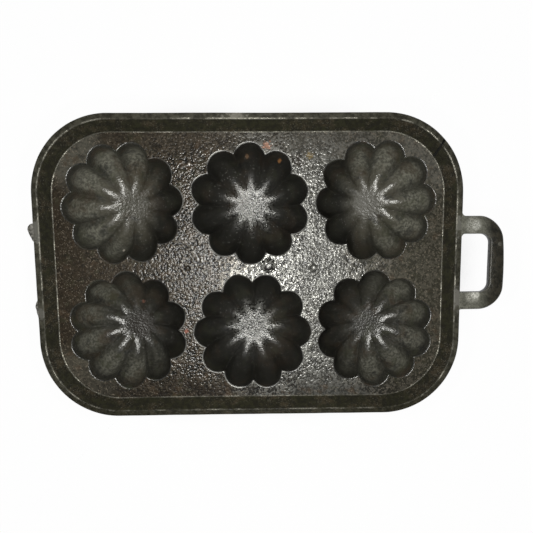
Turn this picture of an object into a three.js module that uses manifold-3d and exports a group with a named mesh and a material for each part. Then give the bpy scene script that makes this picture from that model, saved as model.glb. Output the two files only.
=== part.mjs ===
// Cast iron turk's head pan: six fluted cups hang under a flat deck, a flared rim stands on the deck, a
// loop handle is cast on one end, and two broken roots are left of the handle at the other end.
// Millimetres, +Z up. The pan stands on the flats of its cups at z = 0, with the handle towards +X.
import * as THREE from "three";
import { mergeVertices } from "three/addons/utils/BufferGeometryUtils.js";
import Module from "manifold-3d";

// Cups: plan sizes are taken at the deck's top face, from the cup's own axis
const LOBES = 10;
const LOBE_REACH = 39.5;
const NOTCH_REACH = 33.2;
const CUP_DEPTH = 36;
const CUP_WALL = 3.2;
const CUP_FLOOR = 3.6;
const CUP_DRAFT = THREE.MathUtils.degToRad(5);
const FLOOR_ROUNDNESS = 3.4;
const WALL_ROUNDNESS = 2.2;
const BASE_FLATTENING = 1.2;
const CUP_GAP_X = 1.9;
const CUP_GAP_Y = 3.9;
const COLUMNS = ["left", "middle", "right"];
const ROWS = ["front", "rear"];

// How far each cup is turned askew, in degrees, by row and column
const CUP_TWISTS = [[0, 0, 0], [4.3, 0, 1.7]];

// Deck and rim
const DECK_THICKNESS = 4;
const DECK_MARGIN = 4.9;
const RIM_HEIGHT = 7.5;
const RIM_LIP = 3.6;
const RIM_SLOPE = 7.1;
const RIM_BAND = 3;
const CORNER_RADIUS = 50;

// Loop handle, in plan from the rim's outer face
const HANDLE_REACH = 27.7;
const HANDLE_WIDTH = 61.2;
const HANDLE_ARM = 11.6;
const HANDLE_GRIP = 8.7;
const HANDLE_THICKNESS = 6.8;
const HANDLE_OFFSET = 2.2;
const HANDLE_CORNER = 15;
const HANDLE_INNER_CORNER = 6;
const HANDLE_REAR_FILLET = 2.5;
const HANDLE_FRONT_FILLET = 0.8;
const HANDLE_EDGE = 1.7;

// What is left of the lost handle, a twin of the other one
const STUB_OFFSET = -1;
const STUB_REAR_REACH = 3.9;
const STUB_FRONT_REACH = 1.8;
const STUB_LOW_REACH = 0.8;
const STUB_EDGE = 1;

// Facets and the clearance at cut faces
const LOBE_STEPS = 6;
const CUP_RINGS = 7;
const CORNER_STEPS = 8;
const ARC_STEPS = 6;
const EDGE_STEPS = 2;
const CUT_GAP = 0.3;

// Heights
const DECK_TOP = CUP_DEPTH + CUP_FLOOR;
const DECK_BOTTOM = DECK_TOP - DECK_THICKNESS;
const RIM_TOP = DECK_TOP + RIM_HEIGHT;

// A lobe is an arc about a centre of its own; the outside of the wall is the same arc grown by the wall
const HALF_LOBE = Math.PI / LOBES;
const LOBE_RADIUS = lobeRadius(LOBE_REACH, NOTCH_REACH);
const LOBE_CENTRE = LOBE_REACH - LOBE_RADIUS;
const OUTER_REACH = LOBE_REACH + CUP_WALL;
const OUTER_RADIUS = LOBE_RADIUS + CUP_WALL;

// Plan sizes that follow from the cups
const PITCH_X = OUTER_REACH + notchReach(OUTER_RADIUS) + CUP_GAP_X;
const PITCH_Y = OUTER_REACH + notchReach(OUTER_RADIUS) + CUP_GAP_Y;
const EDGE_REACH = LOBE_REACH + DECK_MARGIN + RIM_SLOPE + RIM_LIP;
const HALF_LENGTH = PITCH_X * (COLUMNS.length - 1) / 2 + EDGE_REACH;
const HALF_WIDTH = PITCH_Y * (ROWS.length - 1) / 2 + EDGE_REACH;

// The rim leans outwards at the same rate all the way down to the deck's underside
const LEAN = RIM_SLOPE / RIM_HEIGHT;
const RIM_FOOT = (RIM_HEIGHT - RIM_BAND) * LEAN;
const DECK_FOOT = RIM_FOOT + DECK_THICKNESS * LEAN;
const RIM_INNER_FOOT = RIM_LIP + RIM_SLOPE;

const wasm = await Module();
wasm.setup();

function lobeRadius(tip, notch) {
  const half = notch * Math.sin(HALF_LOBE);
  const rise = tip - notch * Math.cos(HALF_LOBE);
  return (half * half + rise * rise) / (2 * rise);
}

function notchReach(radius) {
  const across = LOBE_CENTRE * Math.sin(HALF_LOBE);
  return LOBE_CENTRE * Math.cos(HALF_LOBE) + Math.sqrt(radius * radius - across * across);
}

function asSolid(geometry) {
  const bare = geometry.clone();
  bare.deleteAttribute("normal");
  bare.deleteAttribute("uv");
  const merged = mergeVertices(bare);
  const vertProperties = Float32Array.from(merged.attributes.position.array);
  const triVerts = Uint32Array.from(merged.index.array);
  return new wasm.Manifold(new wasm.Mesh({ numProp: 3, vertProperties, triVerts }));
}

function asGeometry(solid) {
  const mesh = solid.getMesh();
  const geometry = new THREE.BufferGeometry();
  geometry.setAttribute("position", new THREE.BufferAttribute(mesh.vertProperties, 3));
  geometry.setIndex(new THREE.BufferAttribute(mesh.triVerts, 1));
  geometry.computeVertexNormals();
  return geometry;
}

// A lathe whose turns follow a plan outline: planPoint(i, x) is the outline's i-th point at profile width x
function turned(profile, count, planPoint) {
  const geometry = new THREE.LatheGeometry(profile, count);
  const position = geometry.attributes.position;
  for (let v = 0; v < position.count; v++) {
    const turn = Math.floor(v / profile.length) % count;
    const { x: width, y: height } = profile[v % profile.length];
    const plan = planPoint(turn, width);
    position.setXYZ(v, plan.x, plan.y, height);
  }
  return geometry;
}

// Fluted cups: the outline of the lobes, shrunk towards the axis as the wall goes down
function lobeOutline(radius, phase) {
  const spread = Math.atan2(
    notchReach(radius) * Math.sin(HALF_LOBE),
    notchReach(radius) * Math.cos(HALF_LOBE) - LOBE_CENTRE,
  );
  const outline = [];
  for (let lobe = 0; lobe < LOBES; lobe++) {
    const axis = phase + 2 * HALF_LOBE * lobe;
    for (let step = 0; step < LOBE_STEPS; step++) {
      const angle = spread * (2 * step / LOBE_STEPS - 1);
      const point = new THREE.Vector2(LOBE_CENTRE + radius * Math.cos(angle), radius * Math.sin(angle));
      outline.push(point.rotateAround(new THREE.Vector2(), axis));
    }
  }
  return outline;
}

// Share of the mouth's reach that is left at a depth below the deck's top face
function shrink(depth, fullDepth, reach) {
  const drafted = 1 - depth * Math.tan(CUP_DRAFT) / reach;
  return drafted * Math.pow(1 - Math.pow(depth / fullDepth, WALL_ROUNDNESS), 1 / FLOOR_ROUNDNESS);
}

// Profile of a cup's surface from its lowest ring up to a depth below the deck's top face
function cupProfile(topDepth, lowDepth, fullDepth, reach) {
  const first = Math.asin(topDepth / fullDepth);
  const last = Math.asin(lowDepth / fullDepth);
  const rings = [];
  for (let ring = CUP_RINGS; ring >= 0; ring--) {
    const depth = fullDepth * Math.sin(first + (last - first) * ring / CUP_RINGS);
    rings.push(new THREE.Vector2(shrink(depth, fullDepth, reach), DECK_TOP - depth));
  }
  return rings;
}

function flutedSolid(profile, radius, phase) {
  const low = new THREE.Vector2(0, profile[0].y);
  const high = new THREE.Vector2(0, profile.at(-1).y);
  const outline = lobeOutline(radius, phase);
  const scaled = (turn, share) => outline[turn].clone().multiplyScalar(share);
  return asSolid(turned([low, ...profile, high], outline.length, scaled));
}

// The space inside a cup, carried on above the deck
function cupSpace(phase) {
  const mouth = new THREE.Vector2(1, RIM_TOP);
  const floorRing = CUP_DEPTH * Math.sin(Math.PI / 2 * (1 - 1 / (CUP_RINGS + 1)));
  const profile = cupProfile(0, floorRing, CUP_DEPTH, LOBE_REACH);
  profile.unshift(new THREE.Vector2(0, CUP_FLOOR));
  return flutedSolid([...profile, mouth], LOBE_RADIUS, phase);
}

function cupGeometry(phase) {
  const fullDepth = DECK_TOP + BASE_FLATTENING;
  const outside = cupProfile(DECK_THICKNESS, DECK_TOP, fullDepth, OUTER_REACH);
  return asGeometry(flutedSolid(outside, OUTER_RADIUS, phase).subtract(cupSpace(phase)));
}

// Deck and rim: a round-cornered oblong, drawn inwards from the rim's outer edge
function oblongPoint(turn, inset) {
  const corner = Math.floor(turn / (CORNER_STEPS + 1));
  const angle = Math.PI / 2 * (corner + turn % (CORNER_STEPS + 1) / CORNER_STEPS);
  const radius = Math.max(CORNER_RADIUS - inset, 0);
  const taken = Math.max(CORNER_RADIUS, inset);
  const signX = corner === 0 || corner === 3 ? 1 : -1;
  const signY = corner < 2 ? 1 : -1;
  return new THREE.Vector2(
    signX * (HALF_LENGTH - taken) + radius * Math.cos(angle),
    signY * (HALF_WIDTH - taken) + radius * Math.sin(angle),
  );
}

function oblongGeometry(profile) {
  const points = profile.map(([inset, height]) => new THREE.Vector2(inset, height));
  return turned(points, 4 * (CORNER_STEPS + 1), oblongPoint);
}

function deckGeometry(cups) {
  const plate = oblongGeometry([
    [HALF_WIDTH, DECK_BOTTOM],
    [DECK_FOOT, DECK_BOTTOM],
    [RIM_FOOT, DECK_TOP],
    [HALF_WIDTH, DECK_TOP],
  ]);
  const open = cups.reduce(
    (solid, { x, y, phase }) => solid.subtract(cupSpace(phase).translate([x, y, 0])),
    asSolid(plate),
  );
  return asGeometry(open);
}

function rimGeometry() {
  const ring = oblongGeometry([
    [0, RIM_TOP],
    [RIM_LIP, RIM_TOP],
    [RIM_INNER_FOOT, DECK_TOP],
    [RIM_FOOT, DECK_TOP],
    [0, RIM_TOP - RIM_BAND],
    [0, RIM_TOP],
  ]);
  return asGeometry(asSolid(ring));
}

// Everything inside the pan's outer face, grown by the clearance: what a cast-on piece is cut back from
function panSpace() {
  return asSolid(oblongGeometry([
    [HALF_WIDTH, 0],
    [DECK_FOOT - CUT_GAP, 0],
    [DECK_FOOT - CUT_GAP, DECK_BOTTOM],
    [-CUT_GAP, RIM_TOP - RIM_BAND],
    [-CUT_GAP, RIM_TOP + RIM_HEIGHT],
    [HALF_WIDTH, RIM_TOP + RIM_HEIGHT],
  ]));
}

// A plan shape raised to the handle's thickness with eased edges, its top face level with the rim's
function castOn(shape, edge, x, y, turn) {
  const geometry = new THREE.ExtrudeGeometry(shape, {
    depth: HANDLE_THICKNESS - 2 * edge,
    bevelThickness: edge,
    bevelSize: edge,
    bevelOffset: -edge,
    bevelSegments: EDGE_STEPS,
    curveSegments: ARC_STEPS,
  });
  geometry.rotateZ(turn);
  geometry.translate(x, y, RIM_TOP - HANDLE_THICKNESS + edge);
  return asGeometry(asSolid(geometry).subtract(panSpace()));
}

// The loop's plan: x outwards from the rim, y along it, with its two roots sunk in the rim
function loopShape() {
  const outer = HANDLE_WIDTH / 2;
  const inner = outer - HANDLE_ARM;
  const bend = HANDLE_REACH - HANDLE_CORNER;
  const innerBend = HANDLE_REACH - HANDLE_GRIP - HANDLE_INNER_CORNER;
  const front = HANDLE_FRONT_FILLET;
  const rear = HANDLE_REAR_FILLET;
  const shape = new THREE.Shape();
  shape.moveTo(-RIM_INNER_FOOT, -outer - front);
  shape.lineTo(0, -outer - front);
  shape.absarc(front, -outer - front, front, Math.PI, Math.PI / 2, true);
  shape.absarc(bend, HANDLE_CORNER - outer, HANDLE_CORNER, -Math.PI / 2, 0, false);
  shape.absarc(bend, outer - HANDLE_CORNER, HANDLE_CORNER, 0, Math.PI / 2, false);
  shape.absarc(rear, outer + rear, rear, -Math.PI / 2, -Math.PI, true);
  shape.lineTo(-RIM_INNER_FOOT, outer + rear);
  shape.lineTo(-RIM_INNER_FOOT, inner - rear);
  shape.absarc(rear, inner - rear, rear, Math.PI, Math.PI / 2, true);
  shape.absarc(innerBend, inner - HANDLE_INNER_CORNER, HANDLE_INNER_CORNER, Math.PI / 2, 0, true);
  shape.absarc(innerBend, HANDLE_INNER_CORNER - inner, HANDLE_INNER_CORNER, 0, -Math.PI / 2, true);
  shape.absarc(front, front - inner, front, -Math.PI / 2, -Math.PI, true);
  shape.lineTo(-RIM_INNER_FOOT, front - inner);
  return shape;
}

function handleGeometry() {
  return castOn(loopShape(), HANDLE_EDGE, HALF_LENGTH, HANDLE_OFFSET, 0);
}

// A root snapped off on the slant: proud near its rear edge, with the break falling away to the front
function stubShape(reach) {
  const half = HANDLE_ARM / 2;
  return new THREE.Shape([
    new THREE.Vector2(-RIM_INNER_FOOT, -half),
    new THREE.Vector2((reach + STUB_LOW_REACH) / 2, -half),
    new THREE.Vector2(reach, -half / 2),
    new THREE.Vector2(STUB_LOW_REACH, half),
    new THREE.Vector2(-RIM_INNER_FOOT, half),
  ]);
}

function stubGeometry(reach, side) {
  const y = STUB_OFFSET + side * (HANDLE_WIDTH - HANDLE_ARM) / 2;
  return castOn(stubShape(reach), STUB_EDGE, -HALF_LENGTH, y, Math.PI);
}

// Finishes
const FINISHES = {
  deck: { color: 0x54483d, roughness: 0.55, metalness: 0.7 },
  rim: { color: 0x45443e, roughness: 0.5, metalness: 0.7 },
  cup: { color: 0x2b2d2a, roughness: 0.4, metalness: 0.7 },
  handle: { color: 0x3d3731, roughness: 0.45, metalness: 0.7 },
  stub: { color: 0x5a5650, roughness: 0.7, metalness: 0.7 },
};

const pan = new THREE.Group();

function cast(name, geometry, finish) {
  const mesh = new THREE.Mesh(geometry, new THREE.MeshStandardMaterial(FINISHES[finish]));
  mesh.name = name;
  pan.add(mesh);
  return mesh;
}

// Neighbouring cups are turned by half a lobe, so that a lobe faces a notch
const cups = ROWS.flatMap((row, r) => COLUMNS.map((column, c) => ({
  name: `cup_${row}_${column}`,
  x: PITCH_X * (c - (COLUMNS.length - 1) / 2),
  y: PITCH_Y * (r - (ROWS.length - 1) / 2),
  phase: ((r + c + 1) % 2) * HALF_LOBE + THREE.MathUtils.degToRad(CUP_TWISTS[r][c]),
})));

cast("deck", deckGeometry(cups), "deck");
cast("rim", rimGeometry(), "rim");
for (const { name, x, y, phase } of cups) {
  cast(name, cupGeometry(phase), "cup").position.set(x, y, 0);
}
cast("handle", handleGeometry(), "handle");
cast("broken_stub_rear", stubGeometry(STUB_REAR_REACH, 1), "stub");
cast("broken_stub_front", stubGeometry(STUB_FRONT_REACH, -1), "stub");

// The origin is under the middle of the whole pan, between the handle's end and the longer stub's
pan.position.x = (STUB_REAR_REACH - HANDLE_REACH) / 2;

export default pan;
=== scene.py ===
import math

import bmesh
import bpy
from mathutils import Matrix, Vector, noise
from mathutils.geometry import delaunay_2d_cdt


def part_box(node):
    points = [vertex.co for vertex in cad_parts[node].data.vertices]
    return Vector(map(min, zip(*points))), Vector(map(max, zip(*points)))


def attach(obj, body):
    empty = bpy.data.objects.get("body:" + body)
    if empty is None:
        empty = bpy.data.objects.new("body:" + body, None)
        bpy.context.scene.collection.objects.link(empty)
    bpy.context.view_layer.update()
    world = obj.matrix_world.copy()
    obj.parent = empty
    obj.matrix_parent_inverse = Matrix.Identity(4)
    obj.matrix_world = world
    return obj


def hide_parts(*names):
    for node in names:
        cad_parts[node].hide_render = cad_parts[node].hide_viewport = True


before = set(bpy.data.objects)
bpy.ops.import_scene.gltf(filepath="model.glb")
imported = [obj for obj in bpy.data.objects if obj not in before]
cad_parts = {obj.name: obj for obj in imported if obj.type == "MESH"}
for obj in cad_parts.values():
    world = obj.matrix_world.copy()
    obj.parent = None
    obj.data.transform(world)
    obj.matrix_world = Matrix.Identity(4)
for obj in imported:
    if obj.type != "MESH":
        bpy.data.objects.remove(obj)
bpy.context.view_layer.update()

MM = 0.001

# Where the frame puts the pan
DECK_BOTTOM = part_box("deck")[0].z
DECK_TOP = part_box("deck")[1].z
RIM_LOW, RIM_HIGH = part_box("rim")
RIM_TOP = RIM_HIGH.z
CENTRE = (RIM_LOW + RIM_HIGH) / 2
HALF_LENGTH = (RIM_HIGH.x - RIM_LOW.x) / 2
HALF_WIDTH = (RIM_HIGH.y - RIM_LOW.y) / 2
LOOP_LOW, LOOP_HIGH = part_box("handle")

# Cups: plan sizes at the deck's top face, from the cup's own axis
LOBES = 10
LOBE_REACH = 39.5 * MM
NOTCH_REACH = 33.2 * MM
CUP_WALL = 3.2 * MM
CUP_FLOOR = 3.6 * MM
CUP_DEPTH = DECK_TOP - CUP_FLOOR
CUP_DRAFT = math.radians(5)
FLOOR_ROUNDNESS = 3.4
WALL_ROUNDNESS = 2.2
BASE_FLATTENING = 1.2 * MM
BASE_EDGE = 1.0 * MM
MOUTH_EDGE = 0.9 * MM
MOUTH_INSET = 0.6 * MM
NOTCH_WEAR = 0.25
NOTCH_WEAR_SPAN = 0.1
UNDER_FILLET = 1.2 * MM
CUP_TURNS = {
    "cup_rear_left": math.radians(4.3),
    "cup_rear_middle": math.radians(18),
    "cup_rear_right": math.radians(1.7),
    "cup_front_left": math.radians(18),
    "cup_front_middle": math.radians(0),
    "cup_front_right": math.radians(18),
}

# How far each cup stands off the even grid, in millimetres
CUP_SHIFTS = {
    "cup_rear_left": (0.3, -0.7),
    "cup_rear_middle": (0.3, -1.2),
    "cup_rear_right": (-0.1, 0.5),
    "cup_front_left": (1.1, 1.0),
    "cup_front_middle": (0.9, -0.6),
    "cup_front_right": (-0.1, 0.7),
}

# The ridges between the flutes stand square to the wall, and run out on the floor
RIDGE_SOFTNESS = 0.014
FLOOR_SOFTNESS = 0.035
GROOVE_SOFTNESS = 0.05
RIDGES_LEVEL = 3 * MM
RIDGES_SQUARE = 12 * MM
FLUTES_END = 0.22
FLUTES_FULL = 0.5

# Facets of the cups. The outside's rows are crowded under the deck
CUP_COLUMNS = 480
INSIDE_ROWS = 64
NEXT_ROW = 0.98
OUTSIDE_ROWS = 30
OUTSIDE_CROWDING = 1.5

# Deck and rim, in plan inwards from the rim's outer edge
CORNER_RADIUS = 50 * MM
RIM_LIP = 3.6 * MM
RIM_SLOPE = 7.1 * MM
RIM_BAND = 3.0 * MM
RIM_HEIGHT = RIM_TOP - DECK_TOP
RIM_LEAN = RIM_SLOPE / RIM_HEIGHT
RIM_FOOT = (RIM_HEIGHT - RIM_BAND) * RIM_LEAN
DECK_FOOT = RIM_FOOT + (DECK_TOP - DECK_BOTTOM) * RIM_LEAN
SLOPE_FOOT = RIM_LIP + RIM_SLOPE
LIP_EDGE = 0.7 * MM
BAND_EDGE = 1.2 * MM
FOOT_FILLET = 1.3 * MM
FOOT_SINK = 0.05 * MM
RIM_FACET = 1.1 * MM
RIM_ARC_STEPS = 6
RIM_CORNER_STEPS = 40
DECK_EDGE_STEP = 4 * MM
DECK_CORNER_STEPS = 16
DECK_SPACING = 2.4 * MM
UNDERSIDE_SPACING = 6 * MM

# Loop handle, in plan outwards from the rim
LOOP_WIDTH = 61.2 * MM
LOOP_ARM = 11.6 * MM
LOOP_GRIP = 8.7 * MM
LOOP_CORNER = 15 * MM
LOOP_INNER_CORNER = 6 * MM
LOOP_REAR_FILLET = 2.5 * MM
LOOP_FRONT_FILLET = 0.8 * MM
LOOP_EDGE = 1.3 * MM
LOOP_CROWN = 0.3 * MM
LOOP_BOW = 0.9 * MM
LOOP_BOW_MIDDLE = -4 * MM
LOOP_BOW_SPAN = 20 * MM
LOOP_ROOT = 2.4 * MM
LOOP_SINK = 0.1 * LOOP_ROOT
LOOP_CROWNED = 4 * LOOP_ROOT
ARM_STEPS = 16
ARM_CROWDING = 1.3
BEND_STEPS = 14
GRIP_STEPS = 12
BAR_ARC_STEPS = 5

# The break of each lost root: y, and how far it stands out from the rim there, in millimetres
STUB_BREAKS = {
    "broken_stub_rear": [
        (29.5, 0.5), (28.9, 2.2), (27.6, 3.2), (25.8, 3.7),
        (23.5, 3.1), (21, 2.1), (18.4, 0.9), (17.8, 0.2),
    ],
    "broken_stub_front": [
        (-19.4, 0.1), (-21.4, 1.0), (-23.5, 1.7),
        (-25.5, 1.4), (-28, 0.9), (-32, 0.1),
    ],
}
STUB_PARTS = 4
STUB_EDGE = 1.2 * MM
STUB_GRAIN = 2.2 * MM
STUB_FRACTAL = (0.8, 2.0, 4)
STUB_ROUGHNESS = 0.35 * MM
LIP_SINK = 0.15 * MM

# Where a root runs thin, its edges are rounded by its width over this
THIN_ROOT = 2.1

# The casting's unevenness
SWAY = 0.25 * MM
SWAY_LENGTH = 55 * MM
RIPPLE = 0.07 * MM
RIPPLE_LENGTH = 11 * MM
STANDING_HEIGHT = 14 * MM
CASTING_SEED = 7
SHARP_ANGLE = math.radians(38)

# How near points lie that are one point, or on the deck's top face
SHELL_SEAM = 0.01 * MM
PIECE_SEAM = 0.005 * MM
PLATE_SEAM = 0.0001 * MM
LEVEL_SLACK = 0.001 * MM

# Round flaws on the deck: place and radius
FLAWS = [
    (Vector((-0.3, 1.0)) * MM, 4.4 * MM),
    (Vector((29.4, -0.6)) * MM, 2.6 * MM),
    (Vector((-52.9, -0.3)) * MM, 1.9 * MM),
]
FLAW_HEIGHT = 0.6 * MM

# A flaw's ring and dish as shares of its radius and height, and the circles of points round it
FLAW_RING = 0.85
FLAW_RING_WIDTH = 0.16
FLAW_DISH_WIDTH = 0.5
FLAW_DISH_DEPTH = 0.5
FLAW_CIRCLES = (0.15, 0.3, 0.45, 0.6, 0.7, 0.78, 0.85, 0.92, 1.0, 1.1, 1.25)
FLAW_POINTS = 28

# Finishes, as linear colours
GREY_IRON = (0.05, 0.048, 0.04, 1)
PALE_IRON = (0.095, 0.094, 0.083, 1)
BROWN_IRON = (0.034, 0.0255, 0.0155, 1)
OLIVE_IRON = (0.045, 0.042, 0.027, 1)
REAR_BROWN = (0.055, 0.047, 0.034, 1)
BLACK_IRON = (0.006, 0.006, 0.005, 1)
# Pale metal and pale brown: bright grain that is partly wear and partly a painted sheen, and the cups'
# painted highlights and glints
PALE_METAL = (0.32, 0.32, 0.3, 1)
PALE_BROWN = (0.26, 0.22, 0.17, 1)
# The rim's pale line colour is a painted highlight
HIGHLIGHT_LINE = (0.27, 0.26, 0.22, 1)
SLOPE_DARK = (0.0115, 0.0105, 0.0058, 1)
SLOPE_GREEN = (0.021, 0.0205, 0.0095, 1)
SLOPE_BROWN = (0.036, 0.0285, 0.016, 1)
SLOPE_PALE = (0.12, 0.115, 0.088, 1)
LIP_DARK = (0.03, 0.029, 0.021, 1)
LIP_PALE = (0.08, 0.077, 0.058, 1)
SEASONED = (0.0068, 0.0064, 0.0048, 1)
FLUTE_GREY = (0.228, 0.225, 0.184, 1)
FLUTE_GREY_DARK = (0.096, 0.096, 0.076, 1)
FLOOR_BROWN = (0.07, 0.064, 0.046, 1)
ARM_GREY = (0.07, 0.071, 0.055, 1)
ARM_PALE = (0.23, 0.23, 0.19, 1)
GRIP_DARK = (0.016, 0.016, 0.012, 1)
GRIP_BROWN = (0.05, 0.045, 0.032, 1)
LOOP_SIDE = (0.012, 0.012, 0.01, 1)
SOOT_BLACK = (0.01, 0.0095, 0.0085, 1)
SOOT_BROWN = (0.042, 0.033, 0.024, 1)
BREAK_DARK = (0.04, 0.039, 0.032, 1)
BREAK_PALE = (0.3, 0.29, 0.26, 1)
WHITE = (1, 1, 1, 1)

# What the finishes read at each point: its place before the casting's unevenness, how far it lies
# from a ridge towards the middle of a flute, and whether it looks down
MOULD = "mould"
FLUTE = "flute"
BELOW = "below"
LEVEL_SPAN = 0.06

# Noises of the finishes: size, detail and roughness
DECK_GRAIN = (1.0 * MM, 2.0, 0.5)
DECK_LUMPS = (1.5 * MM, 1.0, 0.5)
DECK_CLUMPS = (6 * MM, 3.0, 0.6)
DECK_PATCHES = (14 * MM, 4.0, 0.6)
RIM_GRAIN = (0.9 * MM, 3.0, 0.6)
RIM_MOTTLE = (3.2 * MM, 4.0, 0.65)
RIM_PATCHES = (12 * MM, 4.0, 0.6)
RIM_BREAKS = (9 * MM, 3.0, 0.6)
CUP_GRAIN = (1.2 * MM, 3.0, 0.65)
CUP_LUMPS = (1.7 * MM, 1.5, 0.6)
CUP_PATCHES = (9 * MM, 4.0, 0.6)
LOOP_PATCHES = (8 * MM, 4.0, 0.6)
BREAK_GRAIN = (1.6 * MM, 3.0, 0.65)
SOOT_PATCHES = (10 * MM, 5.0, 0.65)

# Where a noise turns into wear, painted highlights and glints, hollows or another colour: from the first
# value, and fully at the second
DECK_HOLLOW = (0.49, 0.43)
DECK_PALE_GRAIN = (0.485, 0.55)
DECK_SPECKED = (0.6, 0.66)
RIM_MOTTLED = (0.36, 0.66)
RIM_BROWN = (0.45, 0.6)
RIM_SCUFFED = (0.55, 0.66)
RIM_SCUFFED_PATCH = (0.4, 0.6)
LINE_WHOLE = (0.46, 0.58)
LINE_GRAINY = (0.4, 0.6)
CUP_DUSTY = (0.36, 0.64)
CUP_GLINT_SPECKS = (0.6, 0.64)
CUP_PALE_GRAIN = (0.46, 0.56)
BRINK_BREAKS = (0.4, 0.6)
LOOP_MOTTLED = (0.34, 0.66)
ARM_RUBBED = (0.32, 0.68)
ARM_GRAINY = (0.42, 0.6)
BREAK_BRIGHT = (0.35, 0.65)
SOOT_BROWNED = (0.4, 0.65)

# Deck finish: depth of the relief, how far the borders wander, and the borders of its regions
DECK_RELIEF = 0.55 * MM
DECK_WANDER = 60 * MM
DECK_ENDS = (55 * MM, 100 * MM)
DECK_LEFT = (-8 * MM, -40 * MM)
DECK_RIGHT = (5 * MM, 25 * MM)
DECK_FRONT = (-62 * MM, -88 * MM)
DECK_REAR = (60 * MM, 84 * MM)

# Rim finish: relief, shine and the dark front, then its painted highlight lines and the crack
RIM_RELIEF = 0.12 * MM
RIM_SHINE = 0.18
RIM_WANDER = 30 * MM
RIM_FRONT = (-70 * MM, -92 * MM)
LIP_LINE = 0.7 * MM
FOOT_LINE = 0.75 * MM
FOOT_SHIFT = 0.15 * MM
RIM_CRACK = (Vector((113.0, 81.0)) * MM, Vector((108.0, 71.5)) * MM)
CRACK_WIDTH = 2.2 * MM
CRACK_WANDER = 1.6 * MM

# Cup finish: as the deck's. The outward border leans, by how far a place lies past the middle of its row
CUP_RELIEF = 0.35 * MM
CUP_WANDER = 30 * MM
CUP_ROW = 42.3 * MM
CUP_SKEW = 0.35
CUP_OUTWARD = (62 * MM, 92 * MM)
CUP_MIDDLE = (60 * MM, 40 * MM)
CUP_FRONT = (10 * MM, -30 * MM)
CUP_LOW = (14 * MM, 5 * MM)
CUP_STAR = (6.8 * MM, 4.6 * MM)
STAR_RAGGED = 6 * MM
CUP_BEYOND = (62 * MM, 76 * MM)
# Heights where the painted shade near the cups' mouths ends, and shares of a flute over which the painted
# shade at its ridges fades
CUP_MOUTH_SHADE = (34 * MM, 24 * MM)
RIDGE_SHADE = (0.1, 0.6)
# Heights where the painted glints lie
CUP_GLINT_HEIGHTS = (26 * MM, 12 * MM)

# Finishes of the breaks and the loop
BREAK_RELIEF = 0.3 * MM
LOOP_WANDER = 8 * MM
LOOP_GRIP_SPAN = (RIM_HIGH.x + 12 * MM, RIM_HIGH.x + 21 * MM)

# Patches of other colours: size, where the noise starts, share and colour. All have one kind of noise
STAIN_NOISE = (5.0, 0.65)
STAIN_RISE = 0.13
DECK_PATINA = [
    (9 * MM, 0.55, 0.6, (0.075, 0.051, 0.031, 1)),
    (7 * MM, 0.55, 0.5, (0.04, 0.04, 0.02, 1)),
    (5 * MM, 0.54, 0.6, (0.01, 0.009, 0.007, 1)),
    (3.5 * MM, 0.6, 0.6, (0.12, 0.105, 0.08, 1)),
]
CUP_PATINA = [
    (19 * MM, 0.5, 0.55, (0.055, 0.036, 0.02, 1)),
    (13 * MM, 0.52, 0.5, (0.05, 0.054, 0.03, 1)),
    (9 * MM, 0.53, 0.6, (0.012, 0.013, 0.014, 1)),
]

# Marks in plan: place and radius in millimetres, then colour. It fades out between two shares of the radius
MARK_FULL = 0.6
MARK_END = 1.3
# Paler patches near three corners of the deck: painted sheen
DECK_CORNER_SHEEN = [
    (-131, 79, 26, (0.1, 0.095, 0.076, 1)),
    (102, 78, 30, (0.11, 0.107, 0.09, 1)),
    (-128, -76, 26, (0.085, 0.077, 0.058, 1)),
]
DECK_MARKS = [
    (-0.2, 77.9, 2.4, (0.36, 0.2, 0.14, 1)),
    (27.2, 72.2, 2.2, (0.18, 0.14, 0.07, 1)),
    (-54.7, -41.8, 1.4, (0.24, 0.09, 0.06, 1)),
    (-50.4, 66.7, 0.7, (0.7, 0.66, 0.6, 1)),
]
CUP_MARKS = [
    (-13.8, 74.0, 1.2, (0.16, 0.1, 0.06, 1)),
    (8.2, 70.4, 1.1, (0.3, 0.14, 0.05, 1)),
    (-99.7, 11.2, 0.8, (0.5, 0.47, 0.4, 1)),
    (-46.2, -59.3, 0.8, (0.5, 0.47, 0.4, 1)),
    (-89.3, -24.9, 1.3, (0.2, 0.1, 0.07, 1)),
    (-92, -42, 10, (0.015, 0.011, 0.006, 1)),
    # A pale patch on the rear right cup's floor: painted highlight
    (70, 43, 9, (0.13, 0.126, 0.108, 1)),
]
# The pale spots on the arms are painted highlights
HANDLE_HIGHLIGHTS_AND_MARKS = [
    (133.0, 26.8, 5, (0.42, 0.42, 0.37, 1)),
    (135.3, 26.8, 3, (0.6, 0.6, 0.55, 1)),
    (134.0, -19.4, 4.5, (0.48, 0.48, 0.42, 1)),
    (135.6, -18.9, 2.6, (0.85, 0.85, 0.78, 1)),
    (150.9, 14.5, 1.5, (0.2, 0.19, 0.16, 1)),
]
RIM_MARKS = [
    (123.4, 27.0, 6, (0.16, 0.158, 0.138, 1)),
    (123.4, -22.5, 6, (0.17, 0.165, 0.145, 1)),
    (-147.6, 24.0, 6, (0.15, 0.147, 0.13, 1)),
    (-148.4, -27.0, 4, (0.13, 0.126, 0.11, 1)),
    (-19.5, 95.6, 6, (0.2, 0.19, 0.16, 1)),
]

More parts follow.
